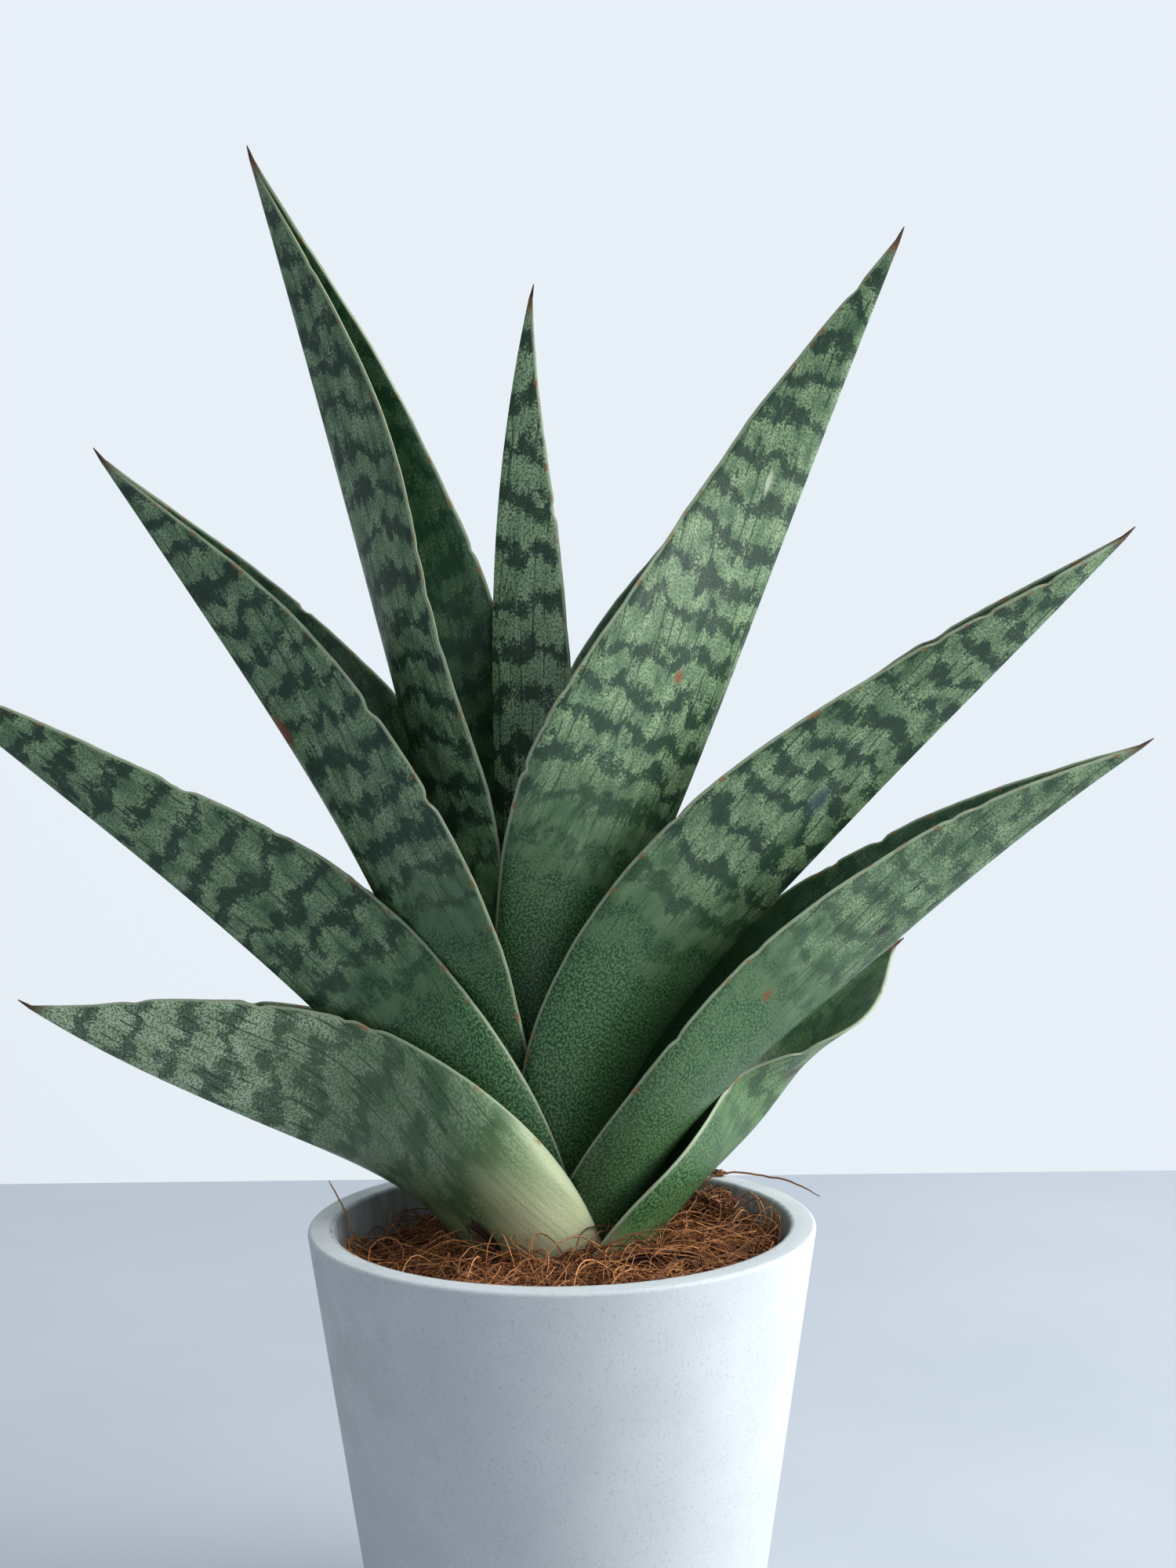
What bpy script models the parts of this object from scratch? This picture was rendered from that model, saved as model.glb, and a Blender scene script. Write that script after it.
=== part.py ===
"""Potted snake plant: a tapered round pot, its coir fill and a two-ranked fan of nine channelled leaves.

Metres, +Z up. The origin is the centre of the pot's flat base, and the fan of leaves spreads along X.
"""

import math
from dataclasses import dataclass

import bmesh
import bpy
import numpy as np
from mathutils import Matrix, Vector

MM = 0.001
GAP = 0.3 * MM

# Pot
POT_HEIGHT = 132 * MM
RIM_RADIUS = 75 * MM
BASE_RADIUS = 56 * MM
WALL = 7.8 * MM
FLOOR = 11 * MM
RIM_ROUND = 1.2 * MM
BASE_ROUND = 2 * MM
POT_STEPS = 56

# Coir fill, measured down from the rim
FILL_DEPTH = 13.5 * MM
FILL_SLOPE = 0.05
HEAP_RISE = 5.5 * MM
HEAP_WIDTH = (40 * MM, 32 * MM)
HEAP_CENTRE = (0.0, 15 * MM)
LUMP_RISE = 0.7 * MM
FILL_STEPS = 40

# Crown of the plant: the rhizome and the feet of the leaves on it
CROWN_Y = 20 * MM
FOOT_HEIGHT = 95 * MM
RHIZOME_HALF = (27 * MM, 17 * MM, 11 * MM)
RHIZOME_TOP = FOOT_HEIGHT - 1.2 * MM
CROWN_WELL = ((86, 0, 28, 18), (92, 0, 30, 31), (112, -1, 32, 32), (140, -4, 46, 34))

# Roots and loose coir
ROOT_RADIUS = 2.4 * MM
ROOT_START = 1.09
ROOT_STATIONS = 9
CLUMP_CENTRE = (46 * MM, 32 * MM, 128 * MM)
CLUMP_HALF = (9.5 * MM, 8 * MM, 6.5 * MM)
RIM_CRUMB_CENTRE = (49 * MM, 52 * MM, 133.4 * MM)
RIM_CRUMB_HALF = (3.2 * MM, 1.8 * MM, 1 * MM)

# Leaf blades
BLADE_END = 0.99
BLADE_STATIONS = 22
BLADE_COLUMNS = 4
MARGIN_WALL = 1.0
CHANNEL_OPEN = 0.15
TIP_RADIUS = 0.8


@dataclass(frozen=True)
class LeafDesign:
    """One grown leaf: millimetres and degrees, each list running evenly from the foot to the tip.

    rank is -1 for a leaf that grows towards -X and +1 for one that grows towards +X. lean is the
    angle from upright, swing the angle out of the fan's plane towards -Y, and roll turns the
    channel towards -Y. reach is the channel's depth from keel to margins and spread is half of
    its opening; both end at the tip. wrap is how far the foot's arc goes round the crown.
    """

    name: str
    rank: int
    foot_x: float
    length: float
    lean: tuple
    roll: tuple
    reach: tuple
    spread: tuple
    swing: tuple
    wrap: float
    wall: float


@dataclass(frozen=True)
class RootDesign:
    """A fleshy root: its azimuth in degrees, how far out and down it goes and its sway, in millimetres."""

    azimuth: float
    out: float
    drop: float
    sway: float


@dataclass(frozen=True)
class LooseDesign:
    """A strand or a husk strip through hand-placed points in millimetres. flat squeezes its section."""

    name: str
    radius: float
    flat: float
    stations: int
    points: tuple


ROOTS = (
    RootDesign(20, 9, 52, 5),
    RootDesign(78, 6, 60, -5),
    RootDesign(140, 9, 48, 5),
    RootDesign(205, 20, 56, -6),
    RootDesign(262, 44, 44, 7),
    RootDesign(320, 29, 62, -5),
)

LOOSE_PIECES = (
    LooseDesign(
        "husk_strip_left", 1.9, 0.3, 9,
        ((-22, -7, 121.5), (-20, -6, 125), (-23, -7.5, 130), (-27, -8, 134)),
    ),
    LooseDesign(
        "husk_strip_right", 1.6, 0.35, 9,
        ((38, -13, 125), (31, -16, 126), (24, -17, 125.5), (17, -18, 125)),
    ),
    LooseDesign(
        "strand_over_rim", 0.5, 1, 15,
        ((37, 39, 129), (46, 43, 134), (54, 44, 135), (62, 42, 134.4), (71, 36, 133.8), (79, 29, 131)),
    ),
    LooseDesign(
        "strand_left", 0.4, 1, 13,
        ((-57, 14, 119), (-63, 12, 126), (-66, 15, 133), (-71, 24, 139)),
    ),
    LooseDesign(
        "strand_front", 0.4, 1, 13,
        ((-8, -30, 121), (-3, -24, 130), (5, -18, 132), (12, -14, 127)),
    ),
)


LEAVES = (
    LeafDesign(
        "leaf_back_right", 1, 23.05, 151, lean=(-5, 53, 42, 64), roll=(-10, -7, 9, 28),
        reach=(22, 17.5, 22, 12), spread=(23.2, 27.7, 9, 20), swing=(-4, -25, -37, -36), wrap=75, wall=3,
    ),
    LeafDesign(
        "leaf_low_left", -1, -22, 176, lean=(7, 60, 65, 57), roll=(-3, -8, -10, -18),
        reach=(37, 39.5, 38.5, 25), spread=(15, 40, 16.5, 12), swing=(0, 0), wrap=120, wall=3,
    ),
    LeafDesign(
        "leaf_low_right", 1, 16, 242, lean=(1, 45, 49, 55), roll=(-4, 4, 4, 2),
        reach=(24, 23.5, 29, 19.5), spread=(9.5, 29, 22, 10), swing=(4, 4), wrap=110, wall=4,
    ),
    LeafDesign(
        "leaf_left", -1, -15.8, 272, lean=(12, 41, 49, 50), roll=(-3, -5, -11, -26),
        reach=(23, 34, 35.5, 18), spread=(7, 27, 11.5, 11), swing=(2, 2), wrap=110, wall=3,
    ),
    LeafDesign(
        "leaf_right", 1, 10, 295, lean=(-11, 36, 44, 44), roll=(5, -8, -7, 13),
        reach=(2, 30, 35, 22.5), spread=(2, 22.5, 26, 10), swing=(3, 3), wrap=110, wall=3.5,
    ),
    LeafDesign(
        "leaf_upper_left", -1, -10, 291, lean=(13, 21, 31, 33), roll=(-10, 3, 10, 17),
        reach=(2, 21.5, 33, 25), spread=(3.5, 12, 28, 7.5), swing=(2, 2), wrap=110, wall=3,
    ),
    LeafDesign(
        "leaf_upper_right", 1, 6, 341, lean=(-10, 20, 21, 22), roll=(1, -5, 1, -32),
        reach=(2, 28.5, 45.5, 25.5), spread=(3, 8, 34, 14), swing=(2, 2), wrap=110, wall=3.5,
    ),
    LeafDesign(
        "leaf_tall_left", -1, -5, 358, lean=(11, 13, 14, 15), roll=(1, -5, 34, 36),
        reach=(2, 6.5, 25, 28), spread=(2.5, 2, 21.5, 6), swing=(0, 0), wrap=100, wall=4.5,
    ),
    LeafDesign(
        "leaf_centre", -1, -1, 310, lean=(13, 4, -1, -13), roll=(-5, 6, -2, -2),
        reach=(2, 2, 21.5, 18.5), spread=(2, 2, 9, 5), swing=(0, 0), wrap=90, wall=3.5,
    ),
)


def clear_scene():
    for obj in list(bpy.data.objects):
        bpy.data.objects.remove(obj, do_unlink=True)


def material(name, colour, roughness):
    made = bpy.data.materials.new(name)
    made.use_nodes = True
    shader = made.node_tree.nodes["Principled BSDF"]
    shader.inputs["Base Color"].default_value = (*colour, 1.0)
    shader.inputs["Roughness"].default_value = roughness
    shader.inputs["Metallic"].default_value = 0.0
    return made


def object_from(name, mesh, finish, helper=False):
    """Closes a bmesh into a named, smooth-shaded object. A helper is a cutter or a guide."""
    bmesh.ops.recalc_face_normals(mesh, faces=mesh.faces)
    data = bpy.data.meshes.new(name)
    mesh.to_mesh(data)
    mesh.free()
    data.shade_smooth()
    data.set_sharp_from_angle(angle=math.radians(40))
    made = bpy.data.objects.new(name, data)
    bpy.context.scene.collection.objects.link(made)
    if finish:
        data.materials.append(finish)
    if helper:
        made.hide_render = True
        made.display_type = "WIRE"
    return made


def cut(target, cutter):
    """Takes the cutter's solid away from the target."""
    modifier = target.modifiers.new("cut " + cutter.name, "BOOLEAN")
    modifier.operation = "DIFFERENCE"
    modifier.solver = "EXACT"
    modifier.object = cutter


def turned(profile, steps):
    """Spins a profile of (radius, height) points about Z; ends on the axis are closed by merging."""
    mesh = bmesh.new()
    points = [mesh.verts.new((radius, 0.0, height)) for radius, height in profile]
    edges = [mesh.edges.new(pair) for pair in zip(points, points[1:])]
    bmesh.ops.spin(
        mesh,
        geom=points + edges,
        cent=(0, 0, 0),
        axis=(0, 0, 1),
        angle=math.tau,
        steps=steps,
        use_merge=True,
    )
    bmesh.ops.remove_doubles(mesh, verts=mesh.verts, dist=0.00002)
    return mesh


def rounded_corner(corner, radius, start, end, steps=3):
    """Points of a quarter round whose centre lies inside the corner, from one angle to another."""
    angles = [start + (end - start) * step / steps for step in range(steps + 1)]
    return [(corner[0] + radius * math.cos(a), corner[1] + radius * math.sin(a)) for a in angles]


def outer_radius(height):
    return BASE_RADIUS + (RIM_RADIUS - BASE_RADIUS) * height / POT_HEIGHT


def inner_radius(height):
    return outer_radius(height) - WALL


def pot():
    quarter = math.pi / 2
    base_edge = (outer_radius(BASE_ROUND) - BASE_ROUND, BASE_ROUND)
    rim_height = POT_HEIGHT - RIM_ROUND
    rim_outer = (outer_radius(rim_height) - RIM_ROUND, rim_height)
    rim_inner = (inner_radius(rim_height) + RIM_ROUND, rim_height)
    profile = [(0.0, 0.0)]
    profile += rounded_corner(base_edge, BASE_ROUND, -quarter, 0.0)
    profile += rounded_corner(rim_outer, RIM_ROUND, 0.0, quarter)
    profile += rounded_corner(rim_inner, RIM_ROUND, quarter, 2 * quarter)
    profile.append((inner_radius(FLOOR + 4 * MM), FLOOR + 4 * MM))
    profile += [(inner_radius(FLOOR) - 4 * MM, FLOOR), (0.0, FLOOR)]
    return object_from("pot", turned(profile, POT_STEPS), material("pot_stoneware", (0.56, 0.62, 0.66), 0.75))


def fill_height(x, y):
    """Height of the coir's top: higher at +X, heaped round the crown, with low lumps."""
    from_heap = ((x - HEAP_CENTRE[0]) / HEAP_WIDTH[0]) ** 2 + ((y - HEAP_CENTRE[1]) / HEAP_WIDTH[1]) ** 2
    lumps = math.sin(x / (9 * MM) + 1.3) * math.sin(y / (7 * MM) + 0.4)
    lumps += 0.7 * math.sin((x + y) / (5 * MM)) * math.sin((x - y) / (6 * MM) + 2.0)
    level = POT_HEIGHT - FILL_DEPTH + FILL_SLOPE * x
    return level + HEAP_RISE * math.exp(-from_heap) + LUMP_RISE * lumps


def coir_fill():
    top = POT_HEIGHT - FILL_DEPTH
    edge = inner_radius(top) - 2 * GAP
    rings = [0.0] + [edge * step / 7 for step in range(1, 7)] + [edge - 1 * MM]
    profile = [(radius, top) for radius in rings]
    profile.append((inner_radius(top - 8 * MM) - GAP, top - 8 * MM))
    profile.append((inner_radius(FLOOR + 6 * MM) - GAP, FLOOR + 6 * MM))
    profile.append((inner_radius(FLOOR) - 6 * MM, FLOOR + GAP))
    profile.append((0.0, FLOOR + GAP))
    mesh = turned(profile, FILL_STEPS)
    for vert in mesh.verts:
        if vert.co.z > top - 1 * MM:
            vert.co.z = fill_height(vert.co.x, vert.co.y)
    return object_from("coir_fill", mesh, material("coir", (0.23, 0.11, 0.05), 0.95))


def ellipsoid(centre, half, top=None):
    mesh = bmesh.new()
    placed = Matrix.Translation(centre) @ Matrix.Diagonal((*half, 1.0))
    bmesh.ops.create_uvsphere(mesh, u_segments=18, v_segments=10, radius=1.0, matrix=placed)
    if top is not None:
        for vert in mesh.verts:
            vert.co.z = min(vert.co.z, top)
        bmesh.ops.dissolve_limit(mesh, angle_limit=math.radians(1), verts=mesh.verts, edges=mesh.edges)
    return mesh


def loft(rings):
    """Extrudes a closed ring from each station to the next, with a face at both ends."""
    mesh = bmesh.new()
    count = len(rings[0])
    verts = [mesh.verts.new(place) for place in rings[0]]
    edges = [mesh.edges.new((verts[index - 1], verts[index])) for index in range(count)]
    mesh.faces.new(verts)
    for ring in rings[1:]:
        made = bmesh.ops.extrude_edge_only(mesh, edges=edges)["geom"]
        fresh = {item for item in made if isinstance(item, bmesh.types.BMVert)}
        verts = [
            next(edge.other_vert(vert) for edge in vert.link_edges if edge.other_vert(vert) in fresh)
            for vert in verts
        ]
        for vert, place in zip(verts, ring):
            vert.co = place
        edges = [mesh.edges.get((verts[index - 1], verts[index])) for index in range(count)]
    mesh.faces.new(verts)
    return mesh


def tube(path, radii, sides=8, flat=1.0):
    """A tube along a path of points, one radius at each. flat squeezes it in height."""
    rings = []
    across = Vector((0.0, 0.0, 1.0))
    for index, centre in enumerate(path):
        before = path[max(index - 1, 0)]
        after = path[min(index + 1, len(path) - 1)]
        along = (after - before).normalized()
        side = along.cross(across).normalized()
        across = side.cross(along).normalized()
        turns = [math.tau * step / sides for step in range(sides)]
        ring = [side * math.cos(a) + across * (flat * math.sin(a)) for a in turns]
        rings.append([centre + radii[index] * offset for offset in ring])
    return loft(rings)


def rhizome():
    centre = (0.0, CROWN_Y, FOOT_HEIGHT - RHIZOME_HALF[2])
    mesh = ellipsoid(centre, RHIZOME_HALF, RHIZOME_TOP)
    return object_from("rhizome", mesh, material("rhizome_skin", (0.62, 0.42, 0.24), 0.7))


def crown_hollows():
    """What the fill leaves free: a pocket round the rhizome and an open well round the leaf feet."""
    centre = (0.0, CROWN_Y, FOOT_HEIGHT - RHIZOME_HALF[2])
    half = tuple(axis + GAP for axis in RHIZOME_HALF)
    pocket = object_from("rhizome_pocket", ellipsoid(centre, half), None, helper=True)
    rings = []
    for height, shift, half_x, half_y in CROWN_WELL:
        turns = [math.tau * step / 32 for step in range(32)]
        ring = [(shift + half_x * math.cos(a), half_y * math.sin(a), height) for a in turns]
        rings.append([Vector(point) * MM + Vector((0.0, CROWN_Y, 0.0)) for point in ring])
    return [pocket, object_from("crown_well", loft(rings), None, helper=True)]


def root_path(design):
    """A fleshy root's route: out of the rhizome's side, then down and outwards into the fill."""
    azimuth = math.radians(design.azimuth)
    outwards = Vector((math.cos(azimuth), math.sin(azimuth), 0.0))
    start = Vector((RHIZOME_HALF[0] * outwards.x, RHIZOME_HALF[1] * outwards.y, 0.0)) * ROOT_START
    start += Vector((0.0, CROWN_Y, FOOT_HEIGHT - RHIZOME_HALF[2] - 2 * MM))
    sideways = Vector((-outwards.y, outwards.x, 0.0))
    path = []
    for step in range(ROOT_STATIONS):
        t = step / (ROOT_STATIONS - 1)
        bend = design.sway * MM * math.sin(math.pi * t)
        drop = Vector((0.0, 0.0, design.drop * MM * t**1.5))
        path.append(start + outwards * (design.out * MM * t) + sideways * bend - drop)
    return path


def roots(fill):
    """The roots, each in a channel of its own that opens into the rhizome's pocket."""
    skin = material("root_skin", (0.72, 0.60, 0.42), 0.8)
    for number, design in enumerate(ROOTS, 1):
        path = root_path(design)
        radii = [ROOT_RADIUS * (1 - 0.6 * step / (ROOT_STATIONS - 1)) for step in range(ROOT_STATIONS)]
        object_from(f"root_{number}", tube(path, radii), skin)
        inwards = (path[0] - path[1]).normalized() * 6 * MM
        outwards = (path[-1] - path[-2]).normalized() * GAP
        channel = [path[0] + inwards] + path[1:-1] + [path[-1] + outwards]
        wider = tube(channel, [radius + GAP for radius in radii])
        cut(fill, object_from(f"root_channel_{number}", wider, None, helper=True))


def through(values, s):
    """A smooth curve through evenly spaced values, read at fractions s of its length."""
    known = np.asarray(values, float)
    spans = len(known) - 1
    place = np.clip(s, 0.0, 1.0) * spans
    index = np.minimum(place.astype(int), spans - 1)
    t = place - index
    ends = np.concatenate([[2 * known[0] - known[1]], known, [2 * known[-1] - known[-2]]])
    a, b, c, d = (ends[index + step] for step in range(4))
    return b + 0.5 * t * ((c - a) + t * ((2 * a - 5 * b + 4 * c - d) + t * (3 * (b - c) + d - a)))


def keel_frames(leaf, s):
    """Keel points in millimetres, with the channel's up and side directions, at fractions s."""
    fine = np.linspace(0.0, 1.0, 241)

    def directions(at):
        lean = np.radians(through(leaf.lean, at))
        swing = np.radians(through(leaf.swing, at))
        out_x = leaf.rank * np.cos(swing)
        out_y = -np.sin(swing)
        along = np.stack([np.sin(lean) * out_x, np.sin(lean) * out_y, np.cos(lean)], -1)
        up = np.stack([-np.cos(lean) * out_x, -np.cos(lean) * out_y, np.sin(lean)], -1)
        return along, up

    steps = directions(fine)[0]
    walked = np.cumsum((steps[1:] + steps[:-1]) / 2 * leaf.length / 240, axis=0)
    foot = np.array([leaf.foot_x, CROWN_Y / MM, FOOT_HEIGHT / MM])
    keel = foot + np.concatenate([[[0.0, 0.0, 0.0]], walked])
    keel = np.stack([np.interp(s, fine, keel[:, axis]) for axis in range(3)], -1)
    along, up = directions(s)
    near = leaf.rank * np.cross(along, up)
    roll = np.radians(through(leaf.roll, s))[:, None]
    return keel, up * np.cos(roll) + near * np.sin(roll), near * np.cos(roll) - up * np.sin(roll)


def leaf_section(leaf, s, columns):
    """Outer and inner (depth, half width) of one arm, keel to margin, at fractions s.

    The foot is an arc round the crown; higher up the leaf is a channel with a rounded keel.
    """
    a = np.linspace(0.0, 1.0, columns + 1)[None, :]
    reach = (np.maximum(through([*leaf.reach, 0], s), 0) + TIP_RADIUS)[:, None]
    spread = (np.maximum(through([*leaf.spread, 0], s), 0) + TIP_RADIUS)[:, None]
    wrap = math.radians(leaf.wrap)
    widest = 1.0 if leaf.wrap > 90 else math.sin(wrap)
    opened = np.clip((s - 0.1) / 0.45, 0.0, 1.0)[:, None]
    opened = opened * opened * (3 - 2 * opened)
    arc_depth = reach * (1 - np.cos(a * wrap)) / (1 - math.cos(wrap))
    arc_half = spread * np.sin(a * wrap) / widest
    depth = arc_depth * (1 - opened) + reach * a**1.3 * opened
    half = arc_half * (1 - opened) + spread * a**0.95 * opened
    keel_wall = np.minimum(leaf.wall * (1 - 0.7 * s)[:, None], 0.45 * reach)
    margin_wall = np.minimum(MARGIN_WALL, 0.45 * spread)
    wall = margin_wall + (keel_wall - margin_wall) * (1 - a) ** 1.6
    run = np.gradient(depth, axis=1)
    rise = np.gradient(half, axis=1)
    slope = np.sqrt(run**2 + rise**2) + 1e-9
    inner_depth = depth + rise / slope * wall
    inner_half = np.maximum(half - run / slope * wall, CHANNEL_OPEN * half)
    inner_depth[:, 0] = keel_wall[:, 0]
    inner_half[:, 0] = 0.0
    return depth, half, np.maximum.accumulate(inner_depth, axis=1), inner_half


def leaf_rings(leaf):
    """Closed rings along the leaf: outer face from margin to margin, then the channel back again."""
    s = np.linspace(0.0, BLADE_END, BLADE_STATIONS)
    keel, up, near = keel_frames(leaf, s)
    depth, half, inner_depth, inner_half = leaf_section(leaf, s, BLADE_COLUMNS)
    order = list(range(BLADE_COLUMNS, 0, -1))
    outer = [(depth, half, column, 1) for column in order] + [(depth, half, 0, 1)]
    outer += [(depth, half, column, -1) for column in reversed(order)]
    inner = [(inner_depth, inner_half, column, -1) for column in order] + [(inner_depth, inner_half, 0, 1)]
    inner += [(inner_depth, inner_half, column, 1) for column in reversed(order)]
    columns = [
        keel + up * deep[:, column, None] + near * (side * wide[:, column, None])
        for deep, wide, column, side in outer + inner
    ]
    return [[Vector(point) * MM for point in ring] for ring in np.stack(columns, 1).tolist()]


def leaves():
    blade = material("leaf_banded", (0.16, 0.27, 0.15), 0.45)
    for leaf in LEAVES:
        object_from(leaf.name, loft(leaf_rings(leaf)), blade)


def coir_clump(finish):
    """A raised tuft of matted coir that lies on the fill behind the plant."""
    mesh = bmesh.new()
    placed = Matrix.Translation(CLUMP_CENTRE) @ Matrix.Diagonal((*CLUMP_HALF, 1.0))
    bmesh.ops.create_icosphere(mesh, subdivisions=3, radius=1.0, matrix=placed)
    for vert in mesh.verts:
        offset = vert.co - Vector(CLUMP_CENTRE)
        ripple = math.sin(offset.x / (2.3 * MM)) * math.sin(offset.y / (2.9 * MM) + offset.z / (2.1 * MM))
        vert.co += offset * (0.12 * ripple)
        vert.co.z = max(vert.co.z, fill_height(vert.co.x, vert.co.y) + 2 * GAP)
    object_from("coir_clump", mesh, finish)


def rim_crumb(finish):
    """A pinch of coir lying on the rim."""
    mesh = ellipsoid(RIM_CRUMB_CENTRE, RIM_CRUMB_HALF)
    object_from("rim_crumb", mesh, finish)


def smooth_path(points, stations):
    """A smooth run through hand-placed millimetre points."""
    s = np.linspace(0.0, 1.0, stations)
    columns = [through([point[axis] for point in points], s) for axis in range(3)]
    return [Vector(place) * MM for place in np.stack(columns, -1).tolist()]


def loose_coir():
    """Husk strips and stray strands on top of the fill and over the rim."""
    finish = material("coir_loose", (0.42, 0.22, 0.10), 0.9)
    coir_clump(finish)
    rim_crumb(finish)
    for piece in LOOSE_PIECES:
        path = smooth_path(piece.points, piece.stations)
        last = len(path) - 1
        radii = [piece.radius * MM * (1 - 0.6 * abs(2 * step / last - 1) ** 3) for step in range(last + 1)]
        object_from(piece.name, tube(path, radii, sides=6, flat=piece.flat), finish)


def main():
    clear_scene()
    pot()
    fill = coir_fill()
    rhizome()
    for hollow in crown_hollows():
        cut(fill, hollow)
    roots(fill)
    leaves()
    loose_coir()


main()
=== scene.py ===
"""Looks of the potted snake plant: blades, coir, pot, floor, light and camera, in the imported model's frame.

Metres, +Z up. Sizes in the dataclasses are millimetres and degrees, as on the maker's drawing.
"""

from __future__ import annotations

import logging
import math
import random
from dataclasses import dataclass
from enum import Enum
from functools import partial

import bmesh
import bpy
import numpy as np
from mathutils import Matrix, Vector, noise

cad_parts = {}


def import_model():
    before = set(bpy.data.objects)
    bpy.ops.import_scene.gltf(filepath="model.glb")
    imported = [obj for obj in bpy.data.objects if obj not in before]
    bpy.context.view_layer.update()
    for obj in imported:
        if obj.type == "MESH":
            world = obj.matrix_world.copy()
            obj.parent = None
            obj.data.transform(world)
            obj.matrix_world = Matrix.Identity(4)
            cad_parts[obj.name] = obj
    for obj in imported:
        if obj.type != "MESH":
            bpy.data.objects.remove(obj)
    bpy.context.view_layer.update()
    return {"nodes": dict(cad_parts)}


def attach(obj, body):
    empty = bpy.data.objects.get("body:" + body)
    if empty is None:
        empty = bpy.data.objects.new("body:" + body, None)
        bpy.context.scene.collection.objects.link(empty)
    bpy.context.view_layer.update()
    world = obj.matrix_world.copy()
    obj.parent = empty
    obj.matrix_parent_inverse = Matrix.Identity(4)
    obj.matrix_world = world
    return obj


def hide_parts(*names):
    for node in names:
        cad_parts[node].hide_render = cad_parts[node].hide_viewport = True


MM = 0.001
log = logging.getLogger("potted_snake_plant")


# ---------------------------------------------------------------- shared tools


def linear(hex_colour: str) -> tuple[float, float, float, float]:
    """Turns an sRGB hex colour to linear light.

    Args:
        hex_colour: six hex digits, with or without a leading hash.

    Returns:
        Red, green, blue and an alpha of 1.
    """
    digits = hex_colour.lstrip("#")
    channels = [int(digits[place : place + 2], 16) / 255 for place in (0, 2, 4)]
    lit = [c / 12.92 if c <= 0.04045 else ((c + 0.055) / 1.055) ** 2.4 for c in channels]
    return (*lit, 1.0)


def add_node(tree: bpy.types.NodeTree, kind: str, feeds: dict | None = None, **settings) -> bpy.types.Node:
    """Adds one node with its settings and links.

    Args:
        tree: the tree that takes the node.
        kind: the node's type, without its ShaderNode prefix.
        feeds: an input's name or number, to the socket that drives it or the value it holds.
        settings: properties of the node.

    Returns:
        The node.
    """
    node = tree.nodes.new("ShaderNode" + kind)
    for name, value in settings.items():
        setattr(node, name, value)
    for key, source in (feeds or {}).items():
        if isinstance(source, bpy.types.NodeSocket):
            tree.links.new(source, node.inputs[key])
        else:
            node.inputs[key].default_value = source
    return node


def new_material(name: str) -> tuple[bpy.types.Material, bpy.types.Node, partial]:
    """Starts a material.

    Args:
        name: the finish's plain name.

    Returns:
        The material, its Principled shader, and add_node bound to its tree.
    """
    material = bpy.data.materials.new(name)
    material.use_nodes = True
    return material, material.node_tree.nodes["Principled BSDF"], partial(add_node, material.node_tree)


def finished_piece(
    name: str, mesh: bmesh.types.BMesh, material: bpy.types.Material, slot: str, *nodes: str
) -> bpy.types.Object:
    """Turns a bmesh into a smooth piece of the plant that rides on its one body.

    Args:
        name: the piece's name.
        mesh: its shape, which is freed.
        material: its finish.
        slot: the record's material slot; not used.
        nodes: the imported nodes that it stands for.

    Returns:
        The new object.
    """
    data = bpy.data.meshes.new(name)
    mesh.to_mesh(data)
    mesh.free()
    data.shade_smooth()
    data.set_sharp_from_angle(angle=math.radians(60))
    data.materials.append(material)
    piece = bpy.data.objects.new(name, data)
    bpy.context.scene.collection.objects.link(piece)
    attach(piece, "root")
    if nodes:
        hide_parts(*nodes)
    log.info("%s: %d faces", name, len(data.polygons))
    return piece


def through(values: tuple, s: np.ndarray) -> np.ndarray:
    """Reads a smooth curve through evenly spaced values.

    Args:
        values: what the curve passes through, from foot to tip.
        s: fractions of its length.

    Returns:
        The curve at each fraction.
    """
    known = np.asarray(values, float)
    spans = len(known) - 1
    place = np.clip(s, 0.0, 1.0) * spans
    index = np.minimum(place.astype(int), spans - 1)
    t = place - index
    ends = np.concatenate([[2 * known[0] - known[1]], known, [2 * known[-1] - known[-2]]])
    a, b, c, d = (ends[index + step] for step in range(4))
    return b + 0.5 * t * ((c - a) + t * ((2 * a - 5 * b + 4 * c - d) + t * (3 * (b - c) + d - a)))


def smooth_path(points: tuple, stations: int) -> np.ndarray:
    """A smooth run of stations through given millimetre points."""
    s = np.linspace(0.0, 1.0, stations)
    return np.stack([through([point[axis] for point in points], s) for axis in range(3)], -1)


def tubes(paths: list[np.ndarray], radii: list[float]) -> bmesh.types.BMesh:
    """Four-sided tubes, tapered at both ends, round many paths at once.

    Args:
        paths: one array of millimetre points each.
        radii: each tube's radius in millimetres.

    Returns:
        One bmesh with all the tubes.
    """
    curve = bpy.data.curves.new("fibre guide", "CURVE")
    curve.dimensions = "3D"
    curve.bevel_depth = 1.0
    curve.bevel_resolution = 0
    curve.use_fill_caps = True
    for path, radius in zip(paths, radii):
        spline = curve.splines.new("POLY")
        spline.points.add(len(path) - 1)
        places = np.concatenate([path * MM, np.ones((len(path), 1))], axis=1)
        spline.points.foreach_set("co", places.ravel())
        taper = 1 - 0.55 * np.abs(np.linspace(-1, 1, len(path))) ** 4
        spline.points.foreach_set("radius", radius * MM * taper)
    guide = bpy.data.objects.new("fibre guide", curve)
    bpy.context.scene.collection.objects.link(guide)
    made = bpy.data.meshes.new_from_object(guide.evaluated_get(bpy.context.evaluated_depsgraph_get()))
    mesh = bmesh.new()
    mesh.from_mesh(made)
    bpy.data.objects.remove(guide)
    bpy.data.curves.remove(curve)
    bpy.data.meshes.remove(made)
    return mesh


# ---------------------------------------------------------------- finishes


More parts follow.
